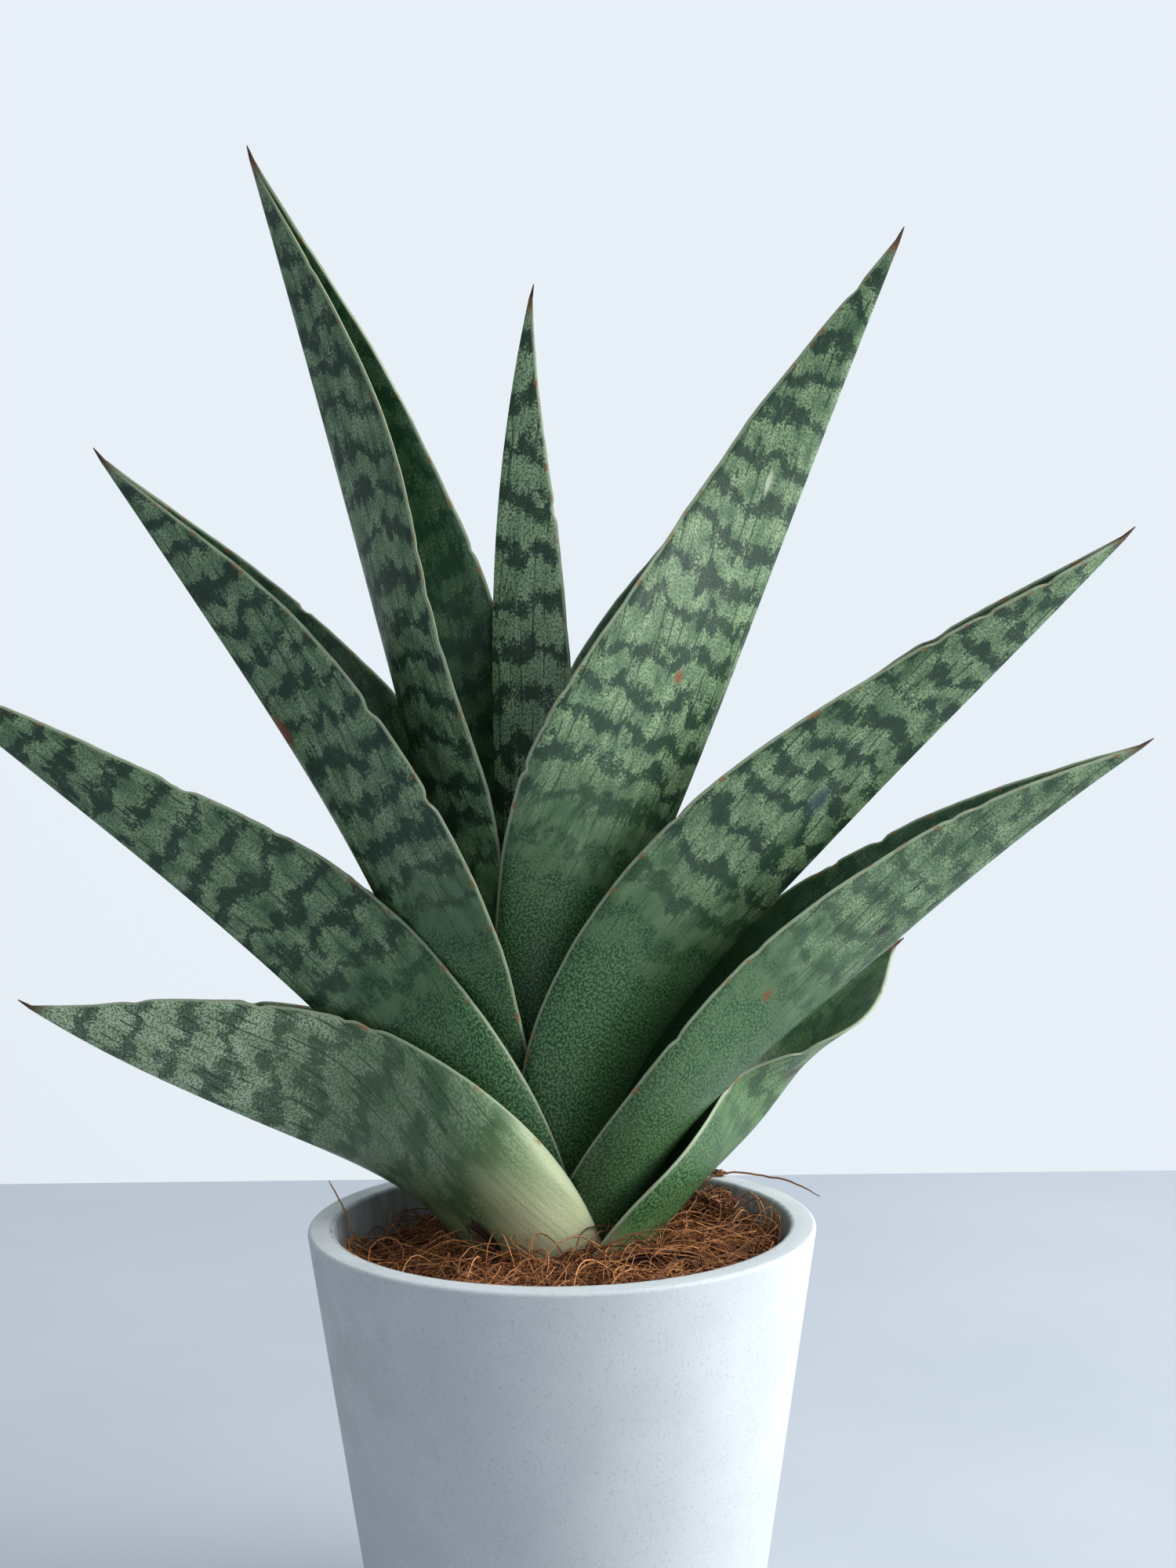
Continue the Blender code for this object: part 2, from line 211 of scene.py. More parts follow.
@dataclass(frozen=True)
class Mark:
    """A scar or bruise on a blade: where it is and its size in millimetres, and its colour."""

    across: float
    along: float
    width: float
    height: float
    colour: str


@dataclass(frozen=True)
class BladeFinish:
    """Snake-plant leaf: a living waxy skin, satin, with grown cross-bands that follow the blade.

    pale and grey are the ground's two greens, band the dark cross-bands. bands_from and blanched are
    heights along the leaf in millimetres: below the first the leaf is plain, below the second pale.
    """

    seed: int
    pale: str = "#94AB80"
    grey: str = "#4C6A4A"
    band: str = "#1C3727"
    strength: float = 0.9
    period: float = 12.5
    plainness: float = 0.95
    bands_from: float = 110.0
    blanched: float = 36.0
    cream: float = 0.6
    rust: float = 0.6
    tip: str = "#5E4630"
    marks: tuple = ()

    def material(self, name: str, length: float) -> bpy.types.Material:
        """Builds the blade's material.

        Args:
            name: the leaf's name.
            length: the leaf's length in millimetres.

        Returns:
            A material that reads the mesh's blade and margin attributes.
        """
        material, shader, add = new_material("living leaf skin, " + name)
        blade = add("Attribute", attribute_name="blade").outputs["Vector"]
        across, along, inside = add("SeparateXYZ", {0: blade}).outputs
        margin = add("Attribute", attribute_name="margin").outputs["Fac"]
        # Grain sizes in millimetres across and along the blade.
        grains = {
            "drift": (16, 45, 2),
            "teeth": (1.3, 5, 3),
            "saw": (6, 8, 3),
            "mottle": (0.65, 0.8, 3),
            "dash": (3.4, 15, 1),
            "patch": (5, 9, 4),
            "rust": (12, 5, 3),
            "vein": (2.6, 90, 1),
        }
        grain = {}
        for number, (kind, (width, height, detail)) in enumerate(grains.items()):
            shift = (self.seed * 7.31 + number * 3.7, self.seed * 2.17 + number * 5.3, self.seed)
            place = add("Mapping", {"Vector": blade, "Location": shift, "Scale": (1 / width, 1 / height, 5.0)})
            grain[kind] = add("TexNoise", {"Vector": place.outputs[0], "Scale": 1.0, "Detail": detail}).outputs[0]

        # The bands' height on the blade wanders, and their edges run out in teeth along the veins.
        wander = along
        for kind, amount in (("drift", 22.0), ("saw", 16.0), ("teeth", 7.0)):
            wander = add("Math", {0: grain[kind], 1: amount, 2: wander}, operation="MULTIPLY_ADD").outputs[0]
        phase = add("Math", {0: wander, 1: math.tau / self.period}, operation="MULTIPLY").outputs[0]
        wave = add("Math", {0: phase}, operation="SINE").outputs[0]
        wave = add("Math", {0: grain["patch"], 1: 3.4, 2: wave}, operation="MULTIPLY_ADD").outputs[0]
        wave = add("Math", {0: grain["mottle"], 1: 2.8, 2: wave}, operation="MULTIPLY_ADD").outputs[0]
        bands = add(
            "MapRange", {0: wave, 1: 2.75, 2: 3.95, 4: self.strength}, interpolation_type="SMOOTHSTEP"
        ).outputs[0]
        # Fine dark lines run up the blade in lanes a few millimetres apart.
        lane = add("Math", {0: grain["drift"], 1: 1.5, 2: add("Math", {0: across, 1: 3.4}, operation="DIVIDE").outputs[0]}, operation="MULTIPLY_ADD").outputs[0]
        lane = add("Math", {0: lane}, operation="FRACT").outputs[0]
        lane = add("Math", {0: lane, 1: 0.5}, operation="SUBTRACT").outputs[0]
        lane = add("Math", {0: lane}, operation="ABSOLUTE").outputs[0]
        lane = add("MapRange", {0: lane, 1: 0.05, 2: 0.11, 3: 0.8, 4: 0.0}).outputs[0]
        gate = add("MapRange", {0: grain["dash"], 1: 0.5, 2: 0.58}).outputs[0]
        dashes = add("Math", {0: lane, 1: gate}, operation="MULTIPLY").outputs[0]

        rise = add("Math", {0: grain["drift"], 1: 40.0, 2: along}, operation="MULTIPLY_ADD").outputs[0]
        plain = add(
            "MapRange",
            {0: rise, 1: self.bands_from - 5, 2: self.bands_from + 55, 3: self.plainness, 4: 0.0},
            interpolation_type="SMOOTHSTEP",
        ).outputs[0]
        low = add(
            "MapRange",
            {0: rise, 1: self.blanched + 2, 2: self.blanched + 24, 3: 0.6, 4: 0.0},
            interpolation_type="SMOOTHSTEP",
        ).outputs[0]
        foot = add(
            "MapRange",
            {0: rise, 1: self.blanched - 6, 2: self.blanched + 18, 3: self.cream, 4: 0.0},
            interpolation_type="SMOOTHSTEP",
        ).outputs[0]
        ground = add("MapRange", {0: grain["patch"], 1: 0.35, 2: 0.68}).outputs[0]
        specks = add("MapRange", {0: grain["mottle"], 1: 0.47, 2: 0.56, 4: 0.75}).outputs[0]
        middle = add("Math", {0: across}, operation="ABSOLUTE").outputs[0]
        middle = add("MapRange", {0: middle, 1: 12.0, 2: 38.0, 3: 0.2, 4: 1.0}).outputs[0]
        foot = add("Math", {0: foot, 1: middle}, operation="MULTIPLY").outputs[0]
        veins = add("MapRange", {0: grain["vein"], 1: 0.56, 2: 0.66, 4: 0.28}).outputs[0]
        # Painted shade: the channel's inner face, and half as much on the margin's rim, is darkened towards deep green
        # for the shade inside the folded blade.
        painted_channel_shade = add("Math", {0: inside, 1: 0.62}, operation="MULTIPLY").outputs[0]
        edge = add("MapRange", {0: margin, 1: 0.15, 2: 0.7, 3: 0.75, 4: 0.0}).outputs[0]
        worn = add("MapRange", {0: grain["rust"], 1: 0.66 - 0.12 * self.rust, 2: 0.72 - 0.12 * self.rust}).outputs[0]
        near_edge = add("MapRange", {0: margin, 1: 0.4, 2: 1.5, 3: 0.8, 4: 0.0}).outputs[0]
        scorched = add("Math", {0: worn, 1: near_edge}, operation="MULTIPLY").outputs[0]
        tip = add("MapRange", {0: along, 1: length - 6, 2: length - 1, 4: 0.95}).outputs[0]
        spine = add("MapRange", {0: along, 1: length - 1, 2: length + 1.5}).outputs[0]
        layers = [
            (ground, self.grey),
            (specks, "#3F5F40"),
            (dashes, "#27412B"),
            (bands, self.band),
            (veins, "#2F5230"),
            (plain, "#1F4220"),
            (add("Math", {0: specks, 1: plain}, operation="MULTIPLY").outputs[0], "#6A9660"),
            (low, "#4E7A36"),
            (add("Math", {0: specks, 1: low}, operation="MULTIPLY").outputs[0], "#35642C"),
            (foot, "#D8DEB0"),
            # painted shade inside the channel
            (painted_channel_shade, "#1F4A2A"),
            (edge, "#A9B595"),
            (scorched, "#94602F"),
            (tip, self.tip),
            (spine, "#4A3226"),
        ]
        for mark in self.marks:
            offset = add("VectorMath", {0: blade, 1: (mark.across, mark.along, 0.0)}, operation="SUBTRACT").outputs[0]
            size = (1 / mark.width, 1 / mark.height, 1.0)
            scaled = add("VectorMath", {0: offset, 1: size}, operation="MULTIPLY").outputs[0]
            away = add("VectorMath", {0: scaled}, operation="LENGTH").outputs["Value"]
            ragged = add("Math", {0: grain["teeth"], 1: 1.2, 2: away}, operation="MULTIPLY_ADD").outputs[0]
            layers.append((add("MapRange", {0: ragged, 1: 1.0, 2: 1.6, 3: 0.85, 4: 0.0}).outputs[0], mark.colour))
        colour = linear(self.pale)
        for mask, tone in layers:
            feeds = {0: mask, 6: colour, 7: linear(tone)}
            colour = add("Mix", feeds, data_type="RGBA").outputs[2]

        relief = add("Math", {0: grain["teeth"], 1: 0.5, 2: grain["mottle"]}, operation="MULTIPLY_ADD").outputs[0]
        relief = add("Math", {0: grain["vein"], 1: 1.6, 2: relief}, operation="MULTIPLY_ADD").outputs[0]
        bump = add("Bump", {"Height": relief, "Strength": 0.3, "Distance": 0.0004})
        gloss = add("MapRange", {0: grain["patch"], 1: 0.3, 2: 0.7, 3: 0.36, 4: 0.5}).outputs[0]
        for socket, source in (("Base Color", colour), ("Roughness", gloss), ("Normal", bump.outputs[0])):
            material.node_tree.links.new(source, shader.inputs[socket])
        shader.inputs["IOR"].default_value = 1.45
        return material


@dataclass(frozen=True)
class StonewareFinish:
    """Cast mineral composite: matte, pale cool grey, softly mottled, with handling smudges and water streaks."""

    ground: str = "#C4C9CB"
    cloud: str = "#CDD1D2"
    smudge: str = "#8D8376"
    streak: str = "#7F8688"
    roughness: float = 0.72

    def material(self) -> bpy.types.Material:
        """Builds the pot's material."""
        material, shader, add = new_material("cast mineral composite")
        place = add("TexCoord").outputs["Object"]
        clouds = add("TexNoise", {0: place, "Scale": 1 / (22 * MM), "Detail": 4.0}).outputs[0]
        grit = add("TexNoise", {0: place, "Scale": 1 / (0.9 * MM), "Detail": 2.0}).outputs[0]
        tall = add("Mapping", {"Vector": place, "Scale": (1 / (4 * MM), 1 / (4 * MM), 1 / (55 * MM))}).outputs[0]
        runs = add("TexNoise", {0: tall, "Scale": 1.0, "Detail": 3.0}).outputs[0]
        handled = add("TexNoise", {0: place, "Scale": 1 / (38 * MM), "Detail": 6.0, "Roughness": 0.62}).outputs[0]
        x, y, z = add("SeparateXYZ", {0: place}).outputs
        square_x = add("Math", {0: x, 1: x}, operation="MULTIPLY").outputs[0]
        square = add("Math", {0: y, 1: y, 2: square_x}, operation="MULTIPLY_ADD").outputs[0]
        radius = add("Math", {0: square, 1: 0.5}, operation="POWER").outputs[0]
        taper = (PotDesign.rim_radius - PotDesign.base_radius) / PotDesign.height
        depth = add("Math", {0: z, 1: -taper, 2: radius}, operation="MULTIPLY_ADD").outputs[0]
        wall_in = (PotDesign.base_radius - PotDesign.wall + 1) * MM
        # Mask of the inside wall: it carries the painted shade of the pot's hollow and bounds the real water streaks.
        inside_wall = add("MapRange", {0: depth, 1: wall_in, 2: wall_in + 0.5 * MM, 3: 1.0, 4: 0.0}).outputs[0]
        wet = add("MapRange", {0: runs, 1: 0.42, 2: 0.7, 4: 0.75}).outputs[0]
        stained = add("Math", {0: inside_wall, 1: wet}, operation="MULTIPLY").outputs[0]
        side = add("MapRange", {0: x, 1: -0.075, 2: 0.02, 3: 1.0, 4: 0.0}).outputs[0]
        dirty = add("MapRange", {0: handled, 1: 0.52, 2: 0.76, 4: 0.36}).outputs[0]
        layers = (
            (add("MapRange", {0: clouds, 1: 0.3, 2: 0.7}).outputs[0], self.cloud),
            (add("Math", {0: dirty, 1: side}, operation="MULTIPLY").outputs[0], self.smudge),
            (add("MapRange", {0: grit, 1: 0.58, 2: 0.7, 4: 0.35}).outputs[0], "#98A1A6"),
            # Painted shade: the inside wall is darkened to a deeper grey for the shade in the pot's hollow.
            (add("Math", {0: inside_wall, 1: 0.45}, operation="MULTIPLY").outputs[0], "#8C9498"),
            (stained, self.streak),
        )
        colour = linear(self.ground)
        for mask, tone in layers:
            colour = add("Mix", {0: mask, 6: colour, 7: linear(tone)}, data_type="RGBA").outputs[2]
        relief = add("Math", {0: clouds, 1: 3.0, 2: grit}, operation="MULTIPLY_ADD").outputs[0]
        bump = add("Bump", {"Height": relief, "Strength": 0.25, "Distance": 0.0002})
        material.node_tree.links.new(colour, shader.inputs["Base Color"])
        material.node_tree.links.new(bump.outputs[0], shader.inputs["Normal"])
        shader.inputs["Roughness"].default_value = self.roughness
        return material


@dataclass(frozen=True)
class FibreFinish:
    """Coconut coir: dry split husk fibre, dull, each fibre a little different in its brown."""

    name: str
    dark: str = "#5E3015"
    light: str = "#CE8C52"
    pith: str = "#331A0C"
    roughness: float = 0.8

    def material(self) -> bpy.types.Material:
        """Builds the fibre's material, whose tone changes from one fibre to the next."""
        material, shader, add = new_material(self.name)
        place = add("TexCoord").outputs["Object"]
        own = add("NewGeometry").outputs["Random Per Island"]
        cloud = add("TexNoise", {0: place, "Scale": 1 / (14 * MM), "Detail": 2.0}).outputs[0]
        speck = add("TexNoise", {0: place, "Scale": 1 / (1.2 * MM), "Detail": 2.0}).outputs[0]
        tone = add("Math", {0: cloud, 1: 0.7, 2: own}, operation="MULTIPLY_ADD").outputs[0]
        light = add("MapRange", {0: tone, 1: 0.5, 2: 1.35}).outputs[0]
        dull = add("MapRange", {0: speck, 1: 0.5, 2: 0.72, 4: 0.7}).outputs[0]
        colour = add("Mix", {0: light, 6: linear(self.dark), 7: linear(self.light)}, data_type="RGBA").outputs[2]
        colour = add("Mix", {0: dull, 6: colour, 7: linear(self.pith)}, data_type="RGBA").outputs[2]
        bump = add("Bump", {"Height": speck, "Strength": 0.5, "Distance": 0.0003})
        material.node_tree.links.new(colour, shader.inputs["Base Color"])
        material.node_tree.links.new(bump.outputs[0], shader.inputs["Normal"])
        shader.inputs["Roughness"].default_value = self.roughness
        return material


@dataclass(frozen=True)
class PlainFinish:
    """A quiet grown or painted surface with soft clouding and fine grain: rhizome, roots and the floor."""

    name: str
    ground: str
    cloud: str
    cloud_size: float
    grain_size: float
    roughness: float

    def material(self) -> bpy.types.Material:
        """Builds the material."""
        material, shader, add = new_material(self.name)
        place = add("TexCoord").outputs["Object"]
        clouds = add("TexNoise", {0: place, "Scale": 1 / (self.cloud_size * MM), "Detail": 3.0}).outputs[0]
        grain = add("TexNoise", {0: place, "Scale": 1 / (self.grain_size * MM), "Detail": 2.0}).outputs[0]
        mask = add("MapRange", {0: clouds, 1: 0.35, 2: 0.65}).outputs[0]
        colour = add("Mix", {0: mask, 6: linear(self.ground), 7: linear(self.cloud)}, data_type="RGBA").outputs[2]
        bump = add("Bump", {"Height": grain, "Strength": 0.15, "Distance": 0.0003})
        material.node_tree.links.new(colour, shader.inputs["Base Color"])
        material.node_tree.links.new(bump.outputs[0], shader.inputs["Normal"])
        shader.inputs["Roughness"].default_value = self.roughness
        return material


# ---------------------------------------------------------------- pot


@dataclass
class PotDesign:
    """The pot: a plain taper with an eased rim, cast in one piece."""

    height: float = 132.0
    rim_radius: float = 75.0
    base_radius: float = 56.0
    wall: float = 7.8
    floor: float = 11.0
    rim_round: float = 1.2
    base_round: float = 2.0
    steps: int = 192

    def outer(self, height: float) -> float:
        """Outer radius at a height."""
        return self.base_radius + (self.rim_radius - self.base_radius) * height / self.height

    def inner(self, height: float) -> float:
        """Inner radius at a height."""
        return self.outer(height) - self.wall

    def profile(self) -> list[tuple[float, float]]:
        """The half section, from the middle of the base round to the middle of the floor inside."""
        rim = self.height - self.rim_round
        rounds = (
            (self.outer(self.base_round) - self.base_round, self.base_round, self.base_round, -90, 0),
            (self.outer(rim) - self.rim_round, rim, self.rim_round, 0, 90),
            (self.inner(rim) + self.rim_round, rim, self.rim_round, 90, 180),
        )
        points = [(0.0, 0.0)]
        for across, up, radius, start, end in rounds:
            for turn in np.radians(np.linspace(start, end, 7)):
                points.append((across + radius * math.cos(turn), up + radius * math.sin(turn)))
        points += [(self.inner(level), level) for level in np.linspace(self.height - 8, self.floor + 4, 14)]
        points += [(self.inner(self.floor) - 4, self.floor), (0.0, self.floor)]
        return points

    def build(self) -> bpy.types.Object:
        """Turns the pot's wall and gives it the slight unevenness of a casting."""
        mesh = bmesh.new()
        verts = [mesh.verts.new((across * MM, 0.0, up * MM)) for across, up in self.profile()]
        edges = [mesh.edges.new(pair) for pair in zip(verts, verts[1:])]
        bmesh.ops.spin(
            mesh,
            geom=verts + edges,
            cent=(0, 0, 0),
            axis=(0, 0, 1),
            angle=math.tau,
            steps=self.steps,
            use_merge=True,
        )
        bmesh.ops.remove_doubles(mesh, verts=mesh.verts, dist=0.00001)
        for vert in mesh.verts:
            if vert.co.z > 4 * MM:
                swell = 0.12 * MM * noise.noise(vert.co / (35 * MM))
                vert.co += Vector((vert.co.x, vert.co.y, 0.0)).normalized() * swell
        bmesh.ops.recalc_face_normals(mesh, faces=mesh.faces)
        return finished_piece("pot_casting", mesh, StonewareFinish().material(), "pot_stoneware", "pot")


# ---------------------------------------------------------------- coir


class Lay(Enum):
    """How a fibre lies: in the mat, or springing out of it."""

    FLAT = "flat"
    SPRUNG = "sprung"


@dataclass
class CoirBed:
    """The potting fill: a heaped bed of pith under a tangle of coir fibre."""

    pot: PotDesign
    depth: float = 13.5
    slope: float = 0.05
    heap_rise: float = 5.5
    heap_width: tuple = (40.0, 32.0)
    heap_centre: tuple = (0.0, 15.0)
    lump_rise: float = 0.7
    fibres: int = 2700
    sprung: int = 620
    crumbs: int = 900
    seed: int = 11

    def height(self, x: float, y: float) -> float:
        """The bed's height over a point, in millimetres."""
        from_heap = ((x - self.heap_centre[0]) / self.heap_width[0]) ** 2
        from_heap += ((y - self.heap_centre[1]) / self.heap_width[1]) ** 2
        lumps = math.sin(x / 9 + 1.3) * math.sin(y / 7 + 0.4)
        lumps += 0.7 * math.sin((x + y) / 5) * math.sin((x - y) / 6 + 2.0)
        level = self.pot.height - self.depth + self.slope * x
        return level + self.heap_rise * math.exp(-from_heap) + self.lump_rise * lumps

    def surface(self) -> bpy.types.Object:
        """The bed itself: a turned body whose top is raised into lumps of pith."""
        top = self.pot.height - self.depth
        edge = self.pot.inner(top) - 0.4
        mesh = bmesh.new()
        rings = [(edge * step / 64, top) for step in range(65)]
        sides = [(self.pot.inner(level) - 0.3, level) for level in (top - 6, top - 40, self.pot.floor + 5)]
        profile = rings + sides + [(0.0, self.pot.floor + 0.3)]
        verts = [mesh.verts.new((across * MM, 0.0, up * MM)) for across, up in profile]
        edges = [mesh.edges.new(pair) for pair in zip(verts, verts[1:])]
        bmesh.ops.spin(
            mesh, geom=verts + edges, cent=(0, 0, 0), axis=(0, 0, 1), angle=math.tau, steps=160, use_merge=True
        )
        bmesh.ops.remove_doubles(mesh, verts=mesh.verts, dist=0.00001)
        for vert in mesh.verts:
            if vert.co.z > (top - 1) * MM:
                x, y = vert.co.x / MM, vert.co.y / MM
                rough = noise.fractal(Vector((x / 3.2, y / 3.2, 1.0)), 1.0, 2.0, 3)
                vert.co.z = (self.height(x, y) - 0.6 + 0.9 * rough) * MM
        bmesh.ops.recalc_face_normals(mesh, faces=mesh.faces)
        finish = FibreFinish("coir pith", dark="#3C1F0F", light="#6A3A1C", pith="#1E0F08", roughness=0.95)
        return finished_piece("coir_bed", mesh, finish.material(), "coir", "coir_fill")

    def fibre(self, pick: random.Random, lay: Lay) -> np.ndarray:
        """One fibre's path over the bed.

        Args:
            pick: the bed's seeded random source.
            lay: flat in the mat, or sprung out of it.

        Returns:
            Millimetre points along the fibre.
        """
        wall = self.pot.inner(self.pot.height - self.depth) - 1.0
        reach = wall * math.sqrt(pick.random())
        turn = pick.uniform(0, math.tau)
        x, y = reach * math.cos(turn), reach * math.sin(turn)
        heading = pick.uniform(0, math.tau)
        bend = pick.gauss(0, 0.16)
        length = pick.uniform(10, 42) if lay is Lay.FLAT else pick.uniform(14, 50)
        lift = abs(pick.gauss(0.2, 0.9)) if lay is Lay.FLAT else pick.uniform(0.3, 2.2)
        bow = pick.uniform(0.0, 1.6) if lay is Lay.FLAT else pick.uniform(1.5, 10.5)
        count = 8 if lay is Lay.FLAT else 10
        points = []
        for step in range(count):
            t = step / (count - 1)
            bend += pick.gauss(0, 0.09)
            heading += bend
            x += length / count * math.cos(heading)
            y += length / count * math.sin(heading)
            away = math.hypot(x, y)
            if away > wall:
                x, y = x * wall / away, y * wall / away
            points.append((x, y, self.height(x, y) + lift + bow * math.sin(math.pi * t) - 0.5))
        return np.array(points)

    def mat(self) -> None:
        """The tangle on top: a mat of fibres, and fewer that spring out of it."""
        pick = random.Random(self.seed)
        finish = FibreFinish("coir fibre").material()
        for name, lay, count, thick in (
            ("coir_mat", Lay.FLAT, self.fibres, 0.23),
            ("coir_sprung", Lay.SPRUNG, self.sprung, 0.18),
        ):
            paths = [self.fibre(pick, lay) for _ in range(count)]
            radii = [thick * pick.uniform(0.7, 1.5) for _ in paths]
            finished_piece(name, tubes(paths, radii), finish, "coir")

    def pith(self) -> bpy.types.Object:
        """Crumbs of pith among the fibres."""
        pick = random.Random(self.seed + 1)
        wall = self.pot.inner(self.pot.height - self.depth) - 1.5
        mesh = bmesh.new()
        for _ in range(self.crumbs):
            reach, turn = wall * math.sqrt(pick.random()), pick.uniform(0, math.tau)
            x, y = reach * math.cos(turn), reach * math.sin(turn)
            size = pick.uniform(0.3, 1.0)
            squash = Matrix.Diagonal((size * MM, size * pick.uniform(0.5, 1) * MM, size * 0.6 * MM, 1.0))
            spin = Matrix.Rotation(pick.uniform(0, math.tau), 4, "Z")
            place = Matrix.Translation(Vector((x, y, self.height(x, y) + pick.uniform(0.0, 0.8))) * MM)
            bmesh.ops.create_icosphere(mesh, subdivisions=1, radius=1.0, matrix=place @ spin @ squash)
        finish = FibreFinish("coir crumbs", dark="#3A2110", light="#8A5A32", pith="#2A160B", roughness=0.95)
        return finished_piece("coir_crumbs", mesh, finish.material(), "coir")

    def build(self) -> None:
        """Builds the bed, its mat and its crumbs."""
        self.surface()
        self.mat()
        self.pith()


@dataclass
class LooseCoir:
    """Loose fibre on the bed and over the rim: strands, split husk strips, a tuft and a pinch on the rim."""

    bed: CoirBed
    strands: tuple = (
        ("strand_over_rim", 0.34, ((37, 39, 129), (46, 43, 134), (54, 44, 135), (62, 42, 134.4), (71, 36, 133.8), (79, 29, 131))),
        ("strand_left", 0.26, ((-57, 14, 119), (-63, 12, 126), (-66, 15, 133), (-71, 24, 139))),
        ("strand_front", 0.3, ((-8, -30, 121), (-3, -24, 130), (5, -18, 132), (12, -14, 127))),
    )
    strips: tuple = (
        ("husk_strip_left", 1.7, ((-22, -7, 121.5), (-20, -6, 125), (-23, -7.5, 130), (-27, -8, 134))),
        ("husk_strip_right", 1.5, ((38, -13, 125), (31, -16, 126), (24, -17, 125.5), (17, -18, 125))),
    )
    tangles: tuple = (
        ("coir_clump", 170, (46.0, 32.0, 128.0), (9.5, 8.0, 6.5)),
        ("rim_crumb", 26, (49.0, 52.0, 133.0), (3.4, 2.2, 1.2)),
    )
    seed: int = 23

    def tangle(self, pick: random.Random, count: int, centre: tuple, half: tuple) -> list[np.ndarray]:
        """Looping fibres that fill a rounded lump.

        Args:
            pick: the seeded random source.
            count: how many fibres.
            centre: the lump's middle.
            half: its half sizes.

        Returns:
            The fibres' paths.
        """
        paths = []
        for _ in range(count):
            ends = [Vector([pick.gauss(0, 1) for _ in range(3)]).normalized() * pick.uniform(0.55, 1.0) for _ in range(3)]
            points = [[centre[axis] + end[axis] * half[axis] for axis in range(3)] for end in ends]
            path = smooth_path(tuple(points), 9)
            floor = np.array([self.bed.height(x, y) for x, y in path[:, :2]])
            path[:, 2] = np.maximum(path[:, 2], floor)
            paths.append(path)
        return paths

    def build(self) -> None:
        """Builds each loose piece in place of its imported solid."""
        pick = random.Random(self.seed)
        pale = FibreFinish("coir strand", dark="#5A3218", light="#B98450", pith="#3A2010").material()
        deep = FibreFinish("coir husk strip", dark="#23130B", light="#54301A", pith="#180D07").material()
        for name, radius, points in self.strands:
            path = smooth_path(points, 48)
            wobble = [[0.35 * noise.noise(Vector((k, step * 0.35, radius))) for k in (1, 5, 9)] for step in range(48)]
            finished_piece("fine_" + name, tubes([path + np.array(wobble)], [radius]), pale, "coir_loose", name)
        for name, width, points in self.strips:
            middle = smooth_path(points, 12)
            paths = []
            for _ in range(16):
                shift = np.array([pick.gauss(0, 0.45) * width, pick.gauss(0, 0.2) * width, pick.gauss(0, 0.45) * width])
                fray = np.linspace(-1, 1, 12)[:, None] ** 3 * np.array([[pick.gauss(0, 0.9) for _ in range(3)]])
                paths.append(middle + shift + fray)
            radii = [pick.uniform(0.18, 0.42) for _ in paths]
            finished_piece("split_" + name, tubes(paths, radii), deep, "coir_loose", name)
        for name, count, centre, half in self.tangles:
            paths = self.tangle(pick, count, centre, half)
            radii = [pick.uniform(0.14, 0.28) for _ in paths]
            finished_piece("fibres_of_" + name, tubes(paths, radii), pale, "coir_loose", name)


# ---------------------------------------------------------------- leaves


@dataclass(frozen=True)
class LeafDesign:
    """One grown leaf: millimetres and degrees, each list running evenly from the foot to the tip.

    rank is -1 for a leaf that grows towards -X and +1 for one that grows towards +X. lean is the
    angle from upright, swing the angle out of the fan's plane towards -Y, and roll turns the
    channel towards -Y. reach is the channel's depth from keel to margins and spread is half of
    its opening. wrap is how far the foot's arc goes round the crown.
    """

    name: str
    rank: int
    foot_x: float
    length: float
    lean: tuple
    roll: tuple
    reach: tuple
    spread: tuple
    swing: tuple
    wrap: float
    wall: float
    finish: BladeFinish


